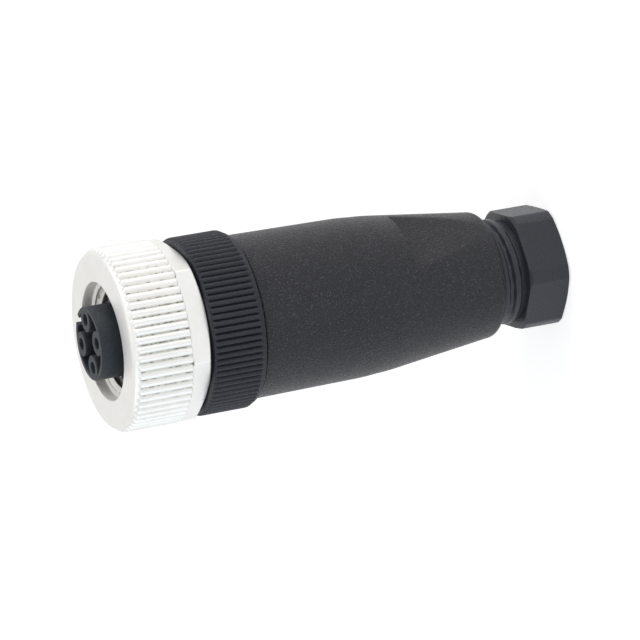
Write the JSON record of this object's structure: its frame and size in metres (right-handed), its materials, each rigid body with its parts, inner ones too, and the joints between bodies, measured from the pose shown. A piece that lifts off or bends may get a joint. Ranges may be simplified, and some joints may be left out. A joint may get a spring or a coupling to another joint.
{
  "type": "m12 connector",
  "caption": "Round screw-locked cable socket: knurled metal coupling nut, ribbed grip ring, tapered plastic housing with spanner flats and a hexagonal cable gland.",
  "frame": {"origin": "centre of the base, on the connector's axis at the gland screw's rear face", "axes": "+Z along the connector's axis, from the cable gland to the mating face"},
  "size_m": [0.02, 0.02, 0.0541],
  "materials": {
    "nickel": "satin nickel plate over a die casting, fine speckle",
    "housing_plastic": "fine spark-eroded texture",
    "ring_plastic": "satin",
    "insert_plastic": "matt",
    "block_plastic": "matt",
    "gland_plastic": "smooth satin",
    "cage_plastic": "smooth satin",
    "seal_rubber": "matt",
    "contact_gold": "thin gold plate",
    "screw_steel": "zinc plate"
  },
  "bodies": {
    "housing": {"housing": "housing_plastic", "cable_seal": "seal_rubber"},
    "front_seal": {"housing_seal": "seal_rubber"},
    "carrier": {"grip_ring": "ring_plastic", "terminal_block": "block_plastic", "contact_insert": "insert_plastic", "face_seal": "seal_rubber", "socket_contact_1": "contact_gold", "socket_contact_2": "contact_gold", "socket_contact_3": "contact_gold", "socket_contact_4": "contact_gold"},
    "nut": {"coupling_nut": "nickel"},
    "cage": {"clamp_cage": "cage_plastic"},
    "gland": {"gland_screw": "gland_plastic"},
    "screw_1": {"terminal_screw_1": "screw_steel"},
    "screw_2": {"terminal_screw_2": "screw_steel"},
    "screw_3": {"terminal_screw_3": "screw_steel"},
    "screw_4": {"terminal_screw_4": "screw_steel"}
  },
  "joints": [
    {"name": "carrier_travel", "type": "slide", "parent": "housing", "child": "front_seal", "axis": [0, 0, 1], "range_m": [0, 0.0035]},
    {"name": "carrier_turn", "type": "hinge", "parent": "front_seal", "child": "carrier", "pos_m": [0, 0, 0.0374], "axis": [0, 0, 1], "range_deg": [0, 1260]},
    {"name": "nut_turn", "type": "hinge", "parent": "carrier", "child": "nut", "pos_m": [0, 0, 0.048], "axis": [0, 0, 1], "continuous": true},
    {"name": "gland_travel", "type": "slide", "parent": "housing", "child": "cage", "axis": [0, 0, 1], "range_m": [-0.003, 0.0025], "deforming": ["cable_seal"]},
    {"name": "gland_turn", "type": "hinge", "parent": "cage", "child": "gland", "pos_m": [0, 0, 0.005], "axis": [0, 0, 1], "range_deg": [-766, 638]},
    {"name": "screw_turn_1", "type": "hinge", "parent": "carrier", "child": "screw_1", "pos_m": [0.00449, -0.00024, 0.0286], "axis": [0.9986, -0.0523, 0], "range_deg": [-1080, 540]},
    {"name": "screw_turn_2", "type": "hinge", "parent": "carrier", "child": "screw_2", "pos_m": [0.00024, 0.00449, 0.0286], "axis": [0.0523, 0.9986, 0], "range_deg": [-1080, 540]},
    {"name": "screw_turn_3", "type": "hinge", "parent": "carrier", "child": "screw_3", "pos_m": [-0.00449, 0.00024, 0.0286], "axis": [-0.9986, 0.0523, 0], "range_deg": [-1080, 540]},
    {"name": "screw_turn_4", "type": "hinge", "parent": "carrier", "child": "screw_4", "pos_m": [-0.00024, -0.00449, 0.0286], "axis": [-0.0523, -0.9986, 0], "range_deg": [-1080, 540]}
  ],
  "couplings": [
    {"joint": "carrier_turn", "follows": "carrier_travel", "rad_per_m": 6283.2},
    {"joint": "gland_turn", "follows": "gland_travel", "rad_per_m": 4453}
  ]
}
